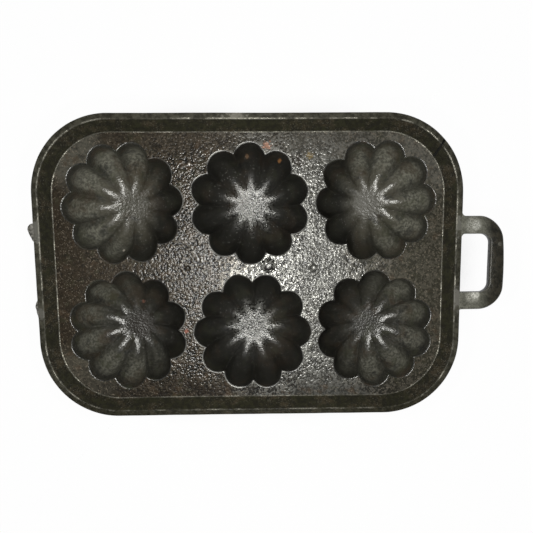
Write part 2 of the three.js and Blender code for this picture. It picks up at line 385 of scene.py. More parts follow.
# Floor and its contact shadow, lamp and sky
FLOOR_HALF = 6.0
FLOOR_MATT = (0.9, 0.9, 0.9, 1)
FLOOR_RAYS = ("Is Camera Ray", "Is Glossy Ray", "Is Transmission Ray")
FLOOR_WHITE = 0.985
SHADOW_REACH = 70 * MM
SHADOW_GREY = (0.12, 0.12, 0.12, 1)
SHADOW_ENDS = 0.72
LAMP_PLACE = Vector((-0.0138, -0.0072, 0.298))
LAMP_SIZE = 30 * MM
LAMP_POWER = 0.72
LAMP_COLOUR = (1.0, 0.99, 0.95)
WORLD_LIGHT = 0.05
SKY_PALE = math.sin(math.radians(12.5))
SKY_DIM = math.sin(math.radians(18))

# Camera, fitted to the photo: its turn is an axis as long as the angle, in radians
CAMERA_PLACE = Vector((-0.00018, 0.02063, 0.45943))
CAMERA_TURN = Vector((0.13919, 0.02837, 0.0084))
CAMERA_NEAR = 10 * MM
SENSOR_WIDTH = 36
FOCAL_PIXELS = 634.33
AXIS_PIXELS = Vector((19.9, 58.23))
PHOTO_PIXELS = 533


# Node trees

class Wire:
    """An output socket of a tree. Arithmetic on it adds Math nodes."""

    def __init__(self, tree, socket):
        self.tree = tree
        self.socket = socket

    def math(self, operation, *values):
        return self.tree.math(operation, self, *values)

    def __add__(self, other):
        return self.math("ADD", other)

    def __radd__(self, other):
        return self.tree.math("ADD", other, self)

    def __sub__(self, other):
        return self.math("SUBTRACT", other)

    def __rsub__(self, other):
        return self.tree.math("SUBTRACT", other, self)

    def __mul__(self, other):
        return self.math("MULTIPLY", other)

    def __rmul__(self, other):
        return self.tree.math("MULTIPLY", other, self)

    def __truediv__(self, other):
        return self.math("DIVIDE", other)

    def __pow__(self, other):
        return self.math("POWER", other)


class Tree:
    """A node tree that is being built."""

    def __init__(self, data):
        self.data = data

    def node(self, kind, settings=None, inputs=None, output=0):
        """Adds a node: its settings first, then values or links of its sockets. Gives one output."""
        made = self.data.nodes.new(kind)
        for name, value in (settings or {}).items():
            setattr(made, name, value)
        for name, value in (inputs or {}).items():
            links = value if isinstance(value, list) else [value]
            for link in links:
                if isinstance(link, Wire):
                    self.data.links.new(link.socket, made.inputs[name])
                else:
                    made.inputs[name].default_value = link
        return Wire(self, made.outputs[output]) if made.outputs else None

    def math(self, operation, *values):
        return self.node("ShaderNodeMath", {"operation": operation}, dict(enumerate(values)))

    def vector(self, x, y, z):
        return self.node("ShaderNodeCombineXYZ", inputs={"X": x, "Y": y, "Z": z})

    def axes(self, vector):
        parts = {"Vector": vector}
        return [self.node("ShaderNodeSeparateXYZ", inputs=parts, output=axis) for axis in "XYZ"]

    def given(self, name):
        """A named input of a geometry tree."""
        return self.node("NodeGroupInput", output=name)

    def step(self, value, start, end):
        """0 up to start, 1 from end on, and a smooth rise between them. Start may be the larger."""
        return self.node(
            "ShaderNodeMapRange",
            {"interpolation_type": "SMOOTHSTEP"},
            {"Value": value, "From Min": start, "From Max": end},
        )

    def mix(self, factor, first, second):
        return self.node(
            "ShaderNodeMix",
            {"data_type": "RGBA"},
            {"Factor": factor, 6: first, 7: second},
            output=2,
        )


def blank_tree(owner):
    """The emptied node tree of a material or a world."""
    owner.use_nodes = True
    owner.node_tree.nodes.clear()
    return Tree(owner.node_tree)


def geometry_tree(name, sizes):
    """A geometry tree with a start mesh, named sizes and a material as its inputs."""
    data = bpy.data.node_groups.new(name, "GeometryNodeTree")
    data.interface.new_socket("Geometry", in_out="INPUT", socket_type="NodeSocketGeometry")
    for size in sizes:
        data.interface.new_socket(size, in_out="INPUT", socket_type="NodeSocketFloat")
    data.interface.new_socket("Material", in_out="INPUT", socket_type="NodeSocketMaterial")
    data.interface.new_socket("Geometry", in_out="OUTPUT", socket_type="NodeSocketGeometry")
    return Tree(data)


def close_tree(tree, geometry):
    """Ends a geometry tree with plain faces in the given material."""
    whole = tree.node("GeometryNodeRealizeInstances", inputs={"Geometry": geometry})
    finish = tree.given("Material")
    painted = tree.node("GeometryNodeSetMaterial", inputs={"Geometry": whole, "Material": finish})
    tree.node("NodeGroupOutput", inputs={"Geometry": painted})


def grow(tree, start, values):
    """The plain mesh that a geometry tree makes from a start mesh and a value for each named input."""
    holder = bpy.data.objects.new(tree.data.name, start)
    modifier = holder.modifiers.new(tree.data.name, "NODES")
    modifier.node_group = tree.data
    for item in tree.data.interface.items_tree:
        if item.in_out == "INPUT" and item.name in values:
            modifier[item.identifier] = values[item.name]
    bpy.context.scene.collection.objects.link(holder)
    depsgraph = bpy.context.evaluated_depsgraph_get()
    mesh = bpy.data.meshes.new_from_object(holder.evaluated_get(depsgraph))
    holder.modifiers.remove(modifier)
    bpy.data.objects.remove(holder)
    return mesh


# Cups

HALF_LOBE = math.pi / LOBES
HALF_CHORD = NOTCH_REACH * math.sin(HALF_LOBE)
LOBE_RISE = LOBE_REACH - NOTCH_REACH * math.cos(HALF_LOBE)
LOBE_RADIUS = (HALF_CHORD * HALF_CHORD + LOBE_RISE * LOBE_RISE) / (2 * LOBE_RISE)
CUP_SIZES = {
    "Lobe Radius": LOBE_RADIUS,
    "Lobe Centre": LOBE_REACH - LOBE_RADIUS,
    "Depth": CUP_DEPTH,
    "Wall": CUP_WALL,
    "Deck Top": DECK_TOP,
    "Deck Bottom": DECK_BOTTOM,
    "Mouth Edge": MOUTH_EDGE,
    "Under Fillet": UNDER_FILLET,
}
OUTER_REACH = LOBE_REACH + CUP_WALL
OUTER_DEPTH = DECK_TOP + BASE_FLATTENING
INNER_REACH = LOBE_REACH - MOUTH_INSET


def profile_start(depth, full_depth):
    """Where along a cup's profile, from 0 at its lowest point to 1 at the deck's top, a depth lies."""
    tau = math.acos((depth / full_depth) ** (WALL_ROUNDNESS / 2))
    return (tau * 2 / math.pi) ** (2 / FLOOR_ROUNDNESS)


def cup_tree():
    """A fluted cup: its inside, its outside and the ring that joins them inside the deck."""
    tree = geometry_tree("fluted cup", ["Axis X", "Axis Y", "Turn", *CUP_SIZES])
    size = tree.given
    deck_top = size("Deck Top")
    deck_bottom = size("Deck Bottom")
    wall = size("Wall")
    outside_start = profile_start(DECK_TOP - DECK_BOTTOM, OUTER_DEPTH)

    def from_notch(angle):
        """The angle between a direction and the nearest notch."""
        return HALF_LOBE - (angle - size("Turn")).math("PINGPONG", HALF_LOBE)

    def edge(angle):
        """The radius of the mouth's rounded edge, which is worn rounder at the notches."""
        return size("Mouth Edge") * (1 + NOTCH_WEAR * tree.step(from_notch(angle), NOTCH_WEAR_SPAN, 0))

    def reach(angle, growth, softness):
        """From the cup's axis to its lobed outline, grown outwards, with its notches softened."""
        centre = size("Lobe Centre")
        radius = size("Lobe Radius") + growth
        aside = from_notch(angle)
        fold = HALF_LOBE - (aside * aside + softness * softness).math("SQRT")
        across = centre * fold.math("SINE")
        return centre * fold.math("COSINE") + (radius * radius - across * across).math("SQRT")

    def profile(along, full_depth, full_reach):
        """Depth and share of the mouth's reach: along is 1 at the deck's top and 0 at the lowest point."""
        tau = along ** (FLOOR_ROUNDNESS / 2) * (math.pi / 2)
        depth = tau.math("COSINE") ** (2 / WALL_ROUNDNESS) * full_depth
        drafted = 1 - depth * (math.tan(CUP_DRAFT) / full_reach)
        return depth, drafted * tau.math("SINE") ** (2 / FLOOR_ROUNDNESS)

    def eased(drop, radius):
        """How far a rounded edge stands back at a drop from the face that it runs into."""
        lift = (radius - drop).math("MAXIMUM", 0)
        return radius - (radius * radius - lift * lift).math("SQRT")

    def inside(along, angle):
        """Radius and height on the inside, whose ridges stand square to the wall."""
        row = 1 - along * along
        depth, share = profile(row, size("Depth"), LOBE_REACH)
        next_depth, next_share = profile(row * NEXT_ROW, size("Depth"), LOBE_REACH)
        run = (share - next_share) * INNER_REACH
        fall = next_depth - depth
        slant = (run * run + fall * fall).math("SQRT")
        square = tree.step(depth, RIDGES_LEVEL, RIDGES_SQUARE)
        plan = reach(angle, -MOUTH_INSET, RIDGE_SOFTNESS + FLOOR_SOFTNESS * (1 - share))
        ridge = share * (INNER_REACH - plan) * tree.step(share, FLUTES_END, FLUTES_FULL)
        inwards = ridge * (1 - square * (1 - fall / slant))
        upwards = ridge * square * run / slant
        radius = share * INNER_REACH - inwards + eased(depth, edge(angle))
        return radius, deck_top - depth + upwards

    def outside(along, angle):
        """Radius and height on the outside, which is flattened where the cup stands."""
        row = outside_start * (1 - along ** OUTSIDE_CROWDING)
        depth, share = profile(row, OUTER_DEPTH, OUTER_REACH)
        plan = reach(angle, wall, GROOVE_SOFTNESS)
        drop = depth - (deck_top - deck_bottom)
        height = (deck_top - depth).math("SMOOTH_MAX", 0, BASE_EDGE)
        return share * plan + eased(drop, size("Under Fillet")), height

    def joint(along, angle):
        """Radius and height on the ring: down from the mouth's edge, then out to the outside."""
        mouth = reach(angle, -MOUTH_INSET, RIDGE_SOFTNESS) + edge(angle)
        _, share = profile(tree.math("ADD", outside_start, 0), OUTER_DEPTH, OUTER_REACH)
        flange = share * reach(angle, wall, GROOVE_SOFTNESS) + size("Under Fillet")
        down = (along * 2).math("MINIMUM", 1)
        out = (along * 2 - 1).math("MAXIMUM", 0)
        return mouth + out * (flange - mouth), deck_top - down * (deck_top - deck_bottom)

    def turned(rows, place):
        """A grid of rows and columns that place(along, angle) wraps round the cup's axis."""
        counts = {"Size X": 1, "Size Y": 1, "Vertices X": rows + 1, "Vertices Y": CUP_COLUMNS + 1}
        grid = tree.node("GeometryNodeMeshGrid", inputs=counts)
        x, y, _ = tree.axes(tree.node("GeometryNodeInputPosition"))
        angle = (y + 0.5) * (2 * math.pi) + size("Turn")
        radius, height = place(x + 0.5, angle)
        grid = tree.node(
            "GeometryNodeStoreNamedAttribute",
            {"data_type": "FLOAT", "domain": "POINT"},
            {"Geometry": grid, "Name": FLUTE, "Value": from_notch(angle) / HALF_LOBE},
        )
        spot = tree.vector(
            size("Axis X") + radius * angle.math("COSINE"),
            size("Axis Y") + radius * angle.math("SINE"),
            height,
        )
        return tree.node("GeometryNodeSetPosition", inputs={"Geometry": grid, "Position": spot})

    shells = [turned(INSIDE_ROWS, inside), turned(OUTSIDE_ROWS, outside), turned(2, joint)]
    joined = tree.node("GeometryNodeJoinGeometry", inputs={"Geometry": shells})
    seamed = {"Geometry": joined, "Distance": SHELL_SEAM}
    close_tree(tree, tree.node("GeometryNodeMergeByDistance", inputs=seamed))
    return tree


# Deck

def as_mesh(name, form):
    mesh = bpy.data.meshes.new(name)
    form.to_mesh(mesh)
    form.free()
    return mesh


def oblong(inset):
    """The rim's outer edge drawn inwards: points in plan, anticlockwise."""
    radius = CORNER_RADIUS - inset
    points = []
    for quarter, (sign_x, sign_y) in enumerate([(1, 1), (-1, 1), (-1, -1), (1, -1)]):
        centre = Vector((
            CENTRE.x + sign_x * (HALF_LENGTH - CORNER_RADIUS),
            CENTRE.y + sign_y * (HALF_WIDTH - CORNER_RADIUS),
        ))
        for step in range(DECK_CORNER_STEPS + 1):
            angle = math.pi / 2 * (quarter + step / DECK_CORNER_STEPS)
            points.append(centre + radius * Vector((math.cos(angle), math.sin(angle))))
    dense = []
    for here, after in zip(points, points[1:] + points[:1]):
        parts = max(1, round((after - here).length / DECK_EDGE_STEP))
        dense.extend(here.lerp(after, part / parts) for part in range(parts))
    return dense


def mouth_ring(cup_mesh, axis):
    """The edge of a cup's mouth on the deck's top face, in plan, anticlockwise."""
    ring = [v.co.xy - axis for v in cup_mesh.vertices if abs(v.co.z - DECK_TOP) < LEVEL_SLACK]
    ring.sort(key=lambda point: math.atan2(point.y, point.x))
    return [axis + point for point in ring]


def flaw_rise(point):
    """A low ring with a shallow dish inside it."""
    rise = 0
    for place, radius in FLAWS:
        away = (point - place).length / radius
        ring = math.exp(-((away - FLAW_RING) / FLAW_RING_WIDTH) ** 2)
        dish = math.exp(-(away / FLAW_DISH_WIDTH) ** 2)
        rise += FLAW_HEIGHT * (ring - FLAW_DISH_DEPTH * dish)
    return rise


def plate(outline, rings, spacing, extra):
    """Flat triangles inside an outline and outside the rings, with points spread over them."""
    points = [*outline]
    faces = [list(range(len(outline)))]
    for ring in rings:
        faces.append(list(range(len(points), len(points) + len(ring))))
        points.extend(ring)
    columns = int(HALF_LENGTH / spacing)
    rows = int(HALF_WIDTH / spacing)
    for row in range(-rows, rows + 1):
        for column in range(-columns, columns + 1):
            shift = 0.25 if row % 2 else -0.25
            points.append(CENTRE.xy + spacing * Vector((column + shift, row)))
    points.extend(extra)
    spots, _, triangles, _, _, sources = delaunay_2d_cdt(points, [], faces, 1, PLATE_SEAM)
    return spots, [t for t, source in zip(triangles, sources) if source == [0]]


def deck_mesh(rings):
    """The deck round the rings of the cups' mouths, with its edge leaning as the rim's outside does."""
    top_line = oblong(RIM_FOOT)
    low_line = oblong(DECK_FOOT)
    around_flaws = [
        place + radius * share * Vector((math.cos(angle), math.sin(angle)))
        for place, radius in FLAWS
        for share in FLAW_CIRCLES
        for angle in (math.tau * turn / FLAW_POINTS for turn in range(FLAW_POINTS))
    ]
    form = bmesh.new()
    spots, triangles = plate(top_line, rings, DECK_SPACING, around_flaws)
    tops = [form.verts.new((*spot, DECK_TOP + flaw_rise(spot))) for spot in spots]
    for triangle in triangles:
        form.faces.new([tops[i] for i in triangle])
    spots, triangles = plate(low_line, rings, UNDERSIDE_SPACING, [])
    lows = [form.verts.new((*spot, DECK_BOTTOM)) for spot in spots]
    for triangle in triangles:
        form.faces.new([lows[i] for i in reversed(triangle)])
    for upper, lower in [(top_line, low_line), *((ring, ring) for ring in rings)]:
        high = [form.verts.new((*spot, DECK_TOP + flaw_rise(spot))) for spot in upper]
        low = [form.verts.new((*spot, DECK_BOTTOM)) for spot in lower]
        for i in range(len(high)):
            form.faces.new([high[i - 1], high[i], low[i], low[i - 1]])
    loose = [v for v in form.verts if not v.link_faces]
    bmesh.ops.delete(form, geom=loose, context="VERTS")
    return as_mesh("deck", form)


# Rim

def rounded(corners, steps):
    """A closed outline from corners given as x, y and radius, with each corner turned into an arc."""
    outline = []
    for index, (x, y, radius) in enumerate(corners):
        here = Vector((x, y))
        if radius == 0:
            outline.append(here)
            continue
        before = (Vector(corners[index - 1][:2]) - here).normalized()
        after = (Vector(corners[(index + 1) % len(corners)][:2]) - here).normalized()
        half = before.angle(after) / 2
        middle = here + (before + after).normalized() * (radius / math.sin(half))
        first = here + before * (radius / math.tan(half)) - middle
        last = here + after * (radius / math.tan(half)) - middle
        turn = first.angle_signed(last)
        for step in range(steps + 1):
            outline.append(middle + Matrix.Rotation(-turn * step / steps, 2) @ first)
    return outline


def split(outline, longest):
    """A closed outline with points added so that no side is longer than that."""
    points = []
    for here, after in zip(outline, outline[1:] + outline[:1]):
        parts = math.ceil((after - here).length / longest)
        points.extend(here.lerp(after, part / parts) for part in range(parts))
    return points


def rim_section():
    """The rim's section. The sweep lays its x outwards from the pan's edge and its y downwards."""
    corners = [
        (RIM_FOOT, DECK_TOP, 0),
        (0, RIM_TOP - RIM_BAND, BAND_EDGE),
        (0, RIM_TOP, LIP_EDGE),
        (RIM_LIP, RIM_TOP, LIP_EDGE),
        (SLOPE_FOOT, DECK_TOP - FOOT_SINK, FOOT_FILLET),
        (SLOPE_FOOT + 2 * FOOT_FILLET, DECK_TOP - FOOT_SINK, 0),
        (DECK_FOOT, (DECK_TOP + DECK_BOTTOM) / 2, 0),
    ]
    outline = split(rounded(corners, RIM_ARC_STEPS), RIM_FACET)
    section = bpy.data.meshes.new("rim section")
    edges = [(i, (i + 1) % len(outline)) for i in range(len(outline))]
    section.from_pydata([(-point.x, -point.y, 0) for point in outline], edges, [])
    return section


def rim_tree():
    """The rim's section swept round the pan's outer edge."""
    tree = geometry_tree("rim", ["Length", "Width", "Corner", "Centre X", "Centre Y", "Step"])
    size = tree.given
    edge = tree.node(
        "GeometryNodeCurvePrimitiveQuadrilateral",
        {"mode": "RECTANGLE"},
        {"Width": size("Length"), "Height": size("Width")},
    )
    edge = tree.node(
        "GeometryNodeFilletCurve",
        {"mode": "POLY"},
        {"Curve": edge, "Count": RIM_CORNER_STEPS, "Radius": size("Corner")},
    )
    edge = tree.node(
        "GeometryNodeResampleCurve",
        {"mode": "LENGTH"},
        {"Curve": edge, "Length": size("Step")},
    )
    section = tree.node("GeometryNodeMeshToCurve", inputs={"Mesh": tree.node("NodeGroupInput")})
    swept = tree.node("GeometryNodeCurveToMesh", inputs={"Curve": edge, "Profile Curve": section})
    middle = tree.vector(size("Centre X"), size("Centre Y"), 0)
    close_tree(tree, tree.node("GeometryNodeTransform", inputs={"Geometry": swept, "Translation": middle}))
    return tree


# Loop handle and the broken roots

def bar_section(half_width, half_height, edge):
    """An oblong section with rounded edges."""
    return rounded([
        (half_width, -half_height, edge),
        (half_width, half_height, edge),
        (-half_width, half_height, edge),
        (-half_width, -half_height, edge),
    ], BAR_ARC_STEPS)


def loft(name, rings):
    """A closed skin over rings of equally many points, with flat ends."""
    form = bmesh.new()
    loops = [[form.verts.new(point) for point in ring] for ring in rings]
    for low, high in zip(loops, loops[1:]):
        for i in range(len(low)):
            form.faces.new([low[i - 1], low[i], high[i], high[i - 1]])
    form.faces.new(loops[0][::-1])
    form.faces.new(loops[-1])
    return as_mesh(name, form)


def smooth(value):
    """0 up to 0, 1 from 1 on, and a smooth rise between them."""
    value = min(max(value, 0), 1)
    return value * value * (3 - 2 * value)


def loop_line(half, corner, reach, side):
    """An edge of the loop in plan, from its front root to its rear root. Side is 1 outside, -1 inside."""
    def flare(x, fillet):
        lift = min(max(fillet - x, 0), fillet)
        return side * (fillet - math.sqrt(fillet * fillet - lift * lift))

    bend = reach - corner
    shares = [(step / ARM_STEPS) ** ARM_CROWDING for step in range(ARM_STEPS)]
    straight = [-LOOP_ROOT + (bend + LOOP_ROOT) * share for share in shares]
    quarter = [math.pi / 2 * step / BEND_STEPS for step in range(BEND_STEPS + 1)]
    line = [Vector((x, -half - flare(x, LOOP_FRONT_FILLET))) for x in straight]
    line += [Vector((bend + corner * math.sin(a), -half + corner * (1 - math.cos(a)))) for a in quarter]
    grip = half - corner
    line += [Vector((reach, grip * (2 * step / GRIP_STEPS - 1))) for step in range(1, GRIP_STEPS)]
    line += [Vector((bend + corner * math.cos(a), half - corner * (1 - math.sin(a)))) for a in quarter]
    line += [Vector((x, half + flare(x, LOOP_REAR_FILLET))) for x in reversed(straight)]
    return line


def handle_mesh():
    """The loop, whose grip bows outwards and whose roots end inside the rim."""
    reach = LOOP_HIGH.x - RIM_HIGH.x
    outer = loop_line(LOOP_WIDTH / 2, LOOP_CORNER, reach, 1)
    inner = loop_line(LOOP_WIDTH / 2 - LOOP_ARM, LOOP_INNER_CORNER, reach - LOOP_GRIP, -1)
    middle_y = LOOP_HIGH.y - LOOP_WIDTH / 2 - LOOP_REAR_FILLET
    for point in outer:
        out = (point.y + middle_y - LOOP_BOW_MIDDLE) / LOOP_BOW_SPAN
        point.x += LOOP_BOW * (1 - out * out) * smooth(point.x / reach)
    half_height = (LOOP_HIGH.z - LOOP_LOW.z) / 2
    rings = []
    for far, near in zip(outer, inner):
        across = far - near
        middle = (far + near) / 2
        ring = []
        for point in bar_section(across.length / 2, half_height, LOOP_EDGE):
            plan = middle + across.normalized() * point.x
            side = point.x * 2 / across.length
            crown = LOOP_CROWN * side * side * smooth(plan.x / LOOP_CROWNED)
            sunk = LOOP_SINK * smooth(-plan.x / LOOP_ROOT)
            height = LOOP_LOW.z + half_height + point.y * (1 - (crown + sunk) / half_height)
            ring.append((RIM_HIGH.x + plan.x, middle_y + plan.y, height))
        rings.append(ring)
    return loft("handle", rings)


def stub_mesh(node):
    """A root snapped off near the rim: its break follows a line in plan, and is rough."""
    low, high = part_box(node)
    middle = (low.z + high.z) / 2
    half_height = (high.z - low.z) / 2
    line = [Vector(point) * MM for point in STUB_BREAKS[node]]
    rings = []
    for here, after in zip(line, line[1:]):
        for part in range(STUB_PARTS):
            rings.append(here.lerp(after, smooth(part / STUB_PARTS)))
    rings.append(line[-1])
    skin = []
    for y, reach in rings:
        ring = []
        width = reach + LOOP_ROOT
        edge = min(STUB_EDGE, width / THIN_ROOT)
        for point in bar_section(width / 2, half_height, edge):
            place = Vector((reach, y, point.y))
            outside = smooth(point.x * 2 / width)
            rough = noise.fractal(place / STUB_GRAIN, *STUB_FRACTAL) * STUB_ROUGHNESS * outside
            x = RIM_LOW.x - (reach - LOOP_ROOT) / 2 - point.x - rough
            ring.append((x, y, middle + point.y - LIP_SINK))
        skin.append(ring)
    return loft(node, skin)


# Finishes

def new_finish(name):
    """A new material, its tree, and the place that its patterns are laid out by."""
    material = bpy.data.materials.new(name)
    tree = blank_tree(material)
    return material, tree, tree.node("ShaderNodeAttribute", {"attribute_name": MOULD}, output="Vector")


def grain(tree, place, size, detail, roughness):
    """Noise from 0 to 1 with features of about that size."""
    values = {"Vector": place, "Scale": 1 / size, "Detail": detail, "Roughness": roughness}
    return tree.node("ShaderNodeTexNoise", inputs=values)


def relief(tree, height, depth):
    """The normals of a surface with bumps of that depth."""
    values = {"Height": height, "Distance": depth, "Strength": 1.0}
    return tree.node("ShaderNodeBump", inputs=values, output="Normal")


def iron(tree, colour, roughness, normal, shine=0.5, metal=0.0):
    """Ends a finish: seasoned iron, bare where it is metal."""
    surface = tree.node("ShaderNodeBsdfPrincipled", inputs={
        "Base Color": colour,
        "Metallic": metal,
        "Roughness": roughness,
        "Specular IOR Level": shine,
        "Normal": normal,
    })
    tree.node("ShaderNodeOutputMaterial", inputs={"Surface": surface})


def distance(tree, place, x, y):
    """How far in plan a place lies from a point."""
    across, along, _ = tree.axes(place)
    aside = across - x
    ahead = along - y
    return (aside * aside + ahead * ahead).math("SQRT")


def inset(tree, place):
    """How far in plan a place lies inwards from the rim's outer edge."""
    across, along, _ = tree.axes(place)
    out_x = (across - CENTRE.x).math("ABSOLUTE") - (HALF_LENGTH - CORNER_RADIUS)
    out_y = (along - CENTRE.y).math("ABSOLUTE") - (HALF_WIDTH - CORNER_RADIUS)
    corner_x = out_x.math("MAXIMUM", 0)
    corner_y = out_y.math("MAXIMUM", 0)
    corner = (corner_x * corner_x + corner_y * corner_y).math("SQRT")
    return CORNER_RADIUS - corner - out_x.math("MAXIMUM", out_y).math("MINIMUM", 0)


def stripe(tree, value, middle, half_width):
    """1 along a line where a value passes its middle, 0 from the half width on."""
    return tree.step((value - middle).math("ABSOLUTE"), half_width, 0.4 * half_width)


def crack(tree, place, start, end, half_width, ragged):
    """1 along a ragged stroke in plan from one point to another."""
    across, along, _ = tree.axes(place)
    aside = across - start.x
    ahead = along - start.y
    way = end - start
    share = (aside * way.x + ahead * way.y) / way.length_squared
    share = share.math("MAXIMUM", 0).math("MINIMUM", 1)
    off_x = aside - share * way.x + ragged
    off_y = ahead - share * way.y + ragged
    return tree.step((off_x * off_x + off_y * off_y).math("SQRT"), half_width, 0.5 * half_width)


def marked(tree, place, colour, marks, ragged, weight=1.0):
    """A colour with ragged spots on it, each given as its place in plan, radius and colour."""
    for x, y, radius, tint in marks:
        away = distance(tree, place, x * MM, y * MM) + ragged * (radius * MM)
        spot = tree.step(away, radius * MARK_END * MM, radius * MARK_FULL * MM)
        colour = tree.mix(spot * weight, colour, tint)
    return colour


def stained(tree, place, colour, stains, weight):
    """A colour with patches of others on it, as the patinas give them."""
    for size, start, share, tint in stains:
        patch = tree.step(grain(tree, place, size, *STAIN_NOISE), start, start + STAIN_RISE)
        colour = tree.mix(patch * (share * weight), colour, tint)
    return colour


def looks_down(tree):
    """1 on the outside and underside of the casting, 0 on what can be seen from above."""
    return tree.node("ShaderNodeAttribute", {"attribute_name": BELOW}, output="Fac")


def sooty(tree, place, colour):
    """A colour with dull soot where the casting looks down."""
    browned = tree.step(grain(tree, place, *SOOT_PATCHES), *SOOT_BROWNED)
    soot = tree.mix(browned, SOOT_BLACK, SOOT_BROWN)
    return tree.mix(looks_down(tree), colour, soot)


def deck_iron():
    """Pitted iron: grey with bright metal grain in the middle, partly wear and partly a painted sheen,
    brown to the left, dull at the edges.
    """
    material, tree, place = new_finish("deck iron")
    across, along, _ = tree.axes(place)
    fine = grain(tree, place, *DECK_GRAIN)
    lumps = grain(tree, place, *DECK_LUMPS)
    clumps = grain(tree, place, *DECK_CLUMPS)
    patches = grain(tree, place, *DECK_PATCHES)
    wander = (patches - 0.5) * DECK_WANDER
    ends = tree.step((across - CENTRE.x).math("ABSOLUTE") + wander, *DECK_ENDS)
    left = tree.step(across + wander, *DECK_LEFT)
    right = tree.step(across + wander, *DECK_RIGHT) * (1 - ends)
    front = tree.step(along + 0.5 * wander, *DECK_FRONT)
    rear = tree.step(along + 0.5 * wander, *DECK_REAR)
    brown = (0.7 * ends).math("MAXIMUM", left)
    colour = tree.mix(0.8 * ends, tree.mix(right, GREY_IRON, PALE_IRON), OLIVE_IRON)
    colour = tree.mix(left, colour, BROWN_IRON)
    colour = tree.mix(0.5 * rear * (1 - ends), colour, REAR_BROWN)
    # Paler patches near three corners: painted sheen
    colour = marked(tree, place, colour, DECK_CORNER_SHEEN, patches - 0.5)
    colour = tree.mix(0.5 * front, colour, BLACK_IRON)
    surface = 0.3 * fine + 0.7 * lumps + 0.5 * (clumps - 0.5)
    calm = ends.math("MAXIMUM", 0.8 * rear).math("MAXIMUM", 0.8 * front)
    hollow = tree.step(surface, *DECK_HOLLOW) * (1 - 0.7 * calm) * (1 - 0.4 * right)
    colour = tree.mix(hollow, colour, BLACK_IRON)
    # Bright metal grain only in the middle, where the lamp's sheen falls: partly wear, partly a painted
    # sheen
    wear_and_highlight = tree.step(surface, *DECK_PALE_GRAIN) * (1 - 0.85 * calm) * (1 - 0.9 * left) * (1 - 0.55 * right)
    colour = tree.mix(wear_and_highlight, colour, tree.mix(brown, PALE_METAL, PALE_BROWN))
    colour = stained(tree, place, colour, DECK_PATINA, 0.35 + 0.65 * brown.math("MAXIMUM", front))
    specks = tree.step(fine, *DECK_SPECKED) * calm
    colour = tree.mix(0.5 * specks, colour, PALE_BROWN)
    colour = marked(tree, place, colour, DECK_MARKS, (lumps - 0.5) * 3)
    colour = sooty(tree, place, colour)
    height = (lumps + 0.2 * fine + 0.6 * clumps) * (1 - 0.7 * calm) + 0.4 * patches
    outside = looks_down(tree)
    rough = 0.27 + 0.05 * ends + 0.2 * outside
    iron(tree, colour, rough, relief(tree, height, DECK_RELIEF), 0.5, 0.5 * wear_and_highlight * (1 - outside))
    return material


def rim_iron():
    """Dark satin iron, mottled brown and green, with painted highlight lines along the lip's edge and the
    slope's foot.
    """
    material, tree, place = new_finish("rim iron")
    _, along, up = tree.axes(place)
    inwards = inset(tree, place)
    fine = grain(tree, place, *RIM_GRAIN)
    mottle = tree.step(grain(tree, place, *RIM_MOTTLE), *RIM_MOTTLED)
    coarse = grain(tree, place, *RIM_PATCHES)
    front = tree.step(along + (coarse - 0.5) * RIM_WANDER, *RIM_FRONT)
    lip = tree.step(up, RIM_TOP - LIP_EDGE, RIM_TOP - 0.3 * LIP_EDGE)
    slope = tree.mix(tree.step(coarse, *RIM_BROWN), SLOPE_GREEN, SLOPE_BROWN)
    slope = tree.mix(mottle, SLOPE_DARK, slope)
    scuffs = tree.step(fine, *RIM_SCUFFED) * tree.step(coarse, *RIM_SCUFFED_PATCH)
    slope = tree.mix(0.6 * scuffs, slope, SLOPE_PALE)
    bare = tree.mix(mottle, LIP_DARK, LIP_PALE)
    bare = marked(tree, place, bare, RIM_MARKS, (mottle - 0.5) * 1.2)
    colour = tree.mix(lip * (1 - 0.75 * front), slope, bare)
    whole = tree.step(grain(tree, place, *RIM_BREAKS), *LINE_WHOLE)
    # Pale metal lines along the lip's inner edge and the slope's foot: painted highlights
    edge = stripe(tree, inwards, RIM_LIP, LIP_LINE) * lip * whole
    foot = stripe(tree, inwards, SLOPE_FOOT + FOOT_SHIFT, FOOT_LINE) * (0.35 + 0.65 * whole)
    grainy = 0.45 + 0.55 * tree.step(fine, *LINE_GRAINY)
    wear_and_highlight = edge.math("MAXIMUM", foot) * (1 - 0.5 * front) * grainy
    colour = tree.mix(wear_and_highlight, colour, HIGHLIGHT_LINE)
    cracked = crack(tree, place, *RIM_CRACK, CRACK_WIDTH / 2, (fine - 0.5) * CRACK_WANDER)
    colour = tree.mix(cracked, colour, BLACK_IRON)
    rough = 0.3 + 0.14 * coarse
    iron(tree, colour, rough, relief(tree, fine + mottle, RIM_RELIEF), RIM_SHINE, 0.6 * wear_and_highlight)
    return material


